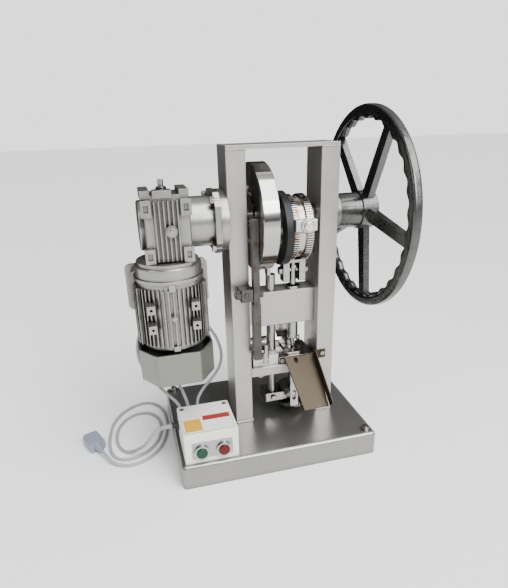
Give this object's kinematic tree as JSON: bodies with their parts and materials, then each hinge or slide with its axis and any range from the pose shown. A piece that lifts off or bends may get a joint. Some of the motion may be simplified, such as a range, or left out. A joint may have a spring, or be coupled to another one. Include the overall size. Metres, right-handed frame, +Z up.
{
  "type": "tablet press",
  "caption": "Bench single-punch tablet press with a vertical geared motor, cam drum, eccentric ram drive, feed shoe, tablet chute and a large spoked handwheel.",
  "frame": {"origin": "on the surface the press stands on, below the middle of the base tray", "axes": "+X to the right along the main shaft towards the handwheel, +Y to the back, +Z up"},
  "size_m": [0.6287, 0.39, 0.673],
  "materials": {
    "satin_paint": "satin silver paint",
    "bright_steel": "machined bright",
    "polished_steel": "polished",
    "dark_steel": "blackened",
    "worn_steel": "dull, worn",
    "stainless_sheet": "folded sheet, tinted",
    "cast_aluminium": "cast, painted silver",
    "wheel_iron": "gunmetal, polished rim",
    "bronze": "turned",
    "stator_iron": "laminated",
    "box_plastic": "warm white, fine grain",
    "green_plastic": "gloss",
    "red_plastic": "gloss",
    "black_plastic": "matte",
    "cord_pvc": "soft PVC, light grey",
    "plug_pvc": "soft PVC, blue grey",
    "cowl_paint": "grey-green silver paint"
  },
  "bodies": {
    "frame": {"base_tray": "satin_paint", "frame_fasteners": "bright_steel", "left_column": "satin_paint", "right_column": "satin_paint", "top_plate": "satin_paint", "crossbeam": "satin_paint", "table_beam": "satin_paint", "die_table": "bright_steel", "riser_block": "worn_steel", "die": "bright_steel", "ram_guide_bush": "dark_steel", "shaft_bearings": "bronze", "chute": "stainless_sheet", "gear_retaining_plate": "bright_steel", "lever_pivot": "worn_steel", "output_flange": "cast_aluminium", "gearbox_bolts": "bright_steel", "gearbox_housing": "cast_aluminium", "gearbox_cover": "cast_aluminium", "motor_end_shield": "cast_aluminium", "motor_housing": "cast_aluminium", "motor_stator": "stator_iron", "fan_cowl": "cowl_paint", "motor_box": "cast_aluminium", "motor_box_lid": "cast_aluminium", "control_box_base": "box_plastic", "control_box_lid": "box_plastic", "switch_bodies": "polished_steel", "cable_glands": "black_plastic", "cord_motor_left": "cord_pvc", "cord_motor_right": "cord_pvc", "cord_motor_middle": "cord_pvc", "mains_cord": "cord_pvc", "mains_plug": "plug_pvc"},
    "drive_shaft": {"main_shaft": "bright_steel", "cam_drum": "polished_steel", "eccentric_sheave": "bright_steel", "handwheel": "wheel_iron", "worm_wheel": "bronze"},
    "worm_and_rotor": {"worm_shaft": "bright_steel", "motor_rotor": "bright_steel", "cooling_fan": "black_plastic"},
    "strap": {"strap_ring": "dark_steel", "toothed_ring": "bright_steel", "ring_clamp": "bright_steel", "con_rod_fork": "bright_steel", "con_rod_screw": "bright_steel", "wrist_pin": "bright_steel"},
    "ram": {"upper_ram": "bright_steel", "upper_punch": "bright_steel"},
    "lift": {"lift_rod": "bright_steel", "cam_follower": "bright_steel", "lift_yoke": "bright_steel", "lower_punch": "bright_steel"},
    "upper_gear": {"upper_adjusting_gear": "bright_steel"},
    "lower_gear": {"lower_adjusting_gear": "bright_steel"},
    "lever": {"feed_lever": "worn_steel"},
    "shoe": {"feed_shoe": "bright_steel"},
    "green_push": {"green_button": "green_plastic"},
    "red_push": {"red_button": "red_plastic"}
  },
  "joints": [
    {"name": "main_shaft_spin", "type": "hinge", "parent": "frame", "child": "drive_shaft", "pos_m": [0, 0, 0.478], "axis": [1, 0, 0], "continuous": true},
    {"name": "strap_pivot", "type": "hinge", "parent": "drive_shaft", "child": "strap", "pos_m": [0.0695, 0, 0.453], "axis": [1, 0, 0], "continuous": true},
    {"name": "worm_spin", "type": "hinge", "parent": "frame", "child": "worm_and_rotor", "pos_m": [-0.183, -0.05, 0.478], "axis": [0, 0, 1], "continuous": true},
    {"name": "ram_slide", "type": "slide", "parent": "frame", "child": "ram", "axis": [0, 0, 1], "range_m": [0, 0.05]},
    {"name": "lift_slide", "type": "slide", "parent": "frame", "child": "lift", "axis": [0, 0, 1], "range_m": [0, 0.012]},
    {"name": "feed_lever_rock", "type": "hinge", "parent": "frame", "child": "lever", "pos_m": [-0.025, -0.061, 0.345], "axis": [-1, 0, 0], "range_deg": [0, 13.3]},
    {"name": "feed_shoe_slide", "type": "slide", "parent": "frame", "child": "shoe", "axis": [0, -1, 0], "range_m": [0, 0.03]},
    {"name": "upper_gear_turn", "type": "hinge", "parent": "lift", "child": "upper_gear", "pos_m": [0.0695, 0, 0.1005], "axis": [0, 0, 1], "range_deg": [-180, 180]},
    {"name": "lower_gear_turn", "type": "hinge", "parent": "lift", "child": "lower_gear", "pos_m": [0.0695, 0, 0.065], "axis": [0, 0, 1], "range_deg": [-180, 180]},
    {"name": "green_button_press", "type": "slide", "parent": "frame", "child": "green_push", "axis": [0, 1, 0], "range_m": [0, 0.004], "stiffness_N_per_m": 400, "springref_m": -0.001},
    {"name": "red_button_press", "type": "slide", "parent": "frame", "child": "red_push", "axis": [0, 1, 0], "range_m": [0, 0.004], "stiffness_N_per_m": 400, "springref_m": -0.001}
  ],
  "couplings": [
    {"joint": "strap_pivot", "follows": "main_shaft_spin", "ratio": -1},
    {"joint": "worm_spin", "follows": "main_shaft_spin", "ratio": 30},
    {"joint": "lift_slide", "follows": "ram_slide", "ratio": 0.24},
    {"joint": "feed_lever_rock", "follows": "ram_slide", "rad_per_m": 4.64},
    {"joint": "feed_shoe_slide", "follows": "ram_slide", "ratio": 0.594}
  ]
}
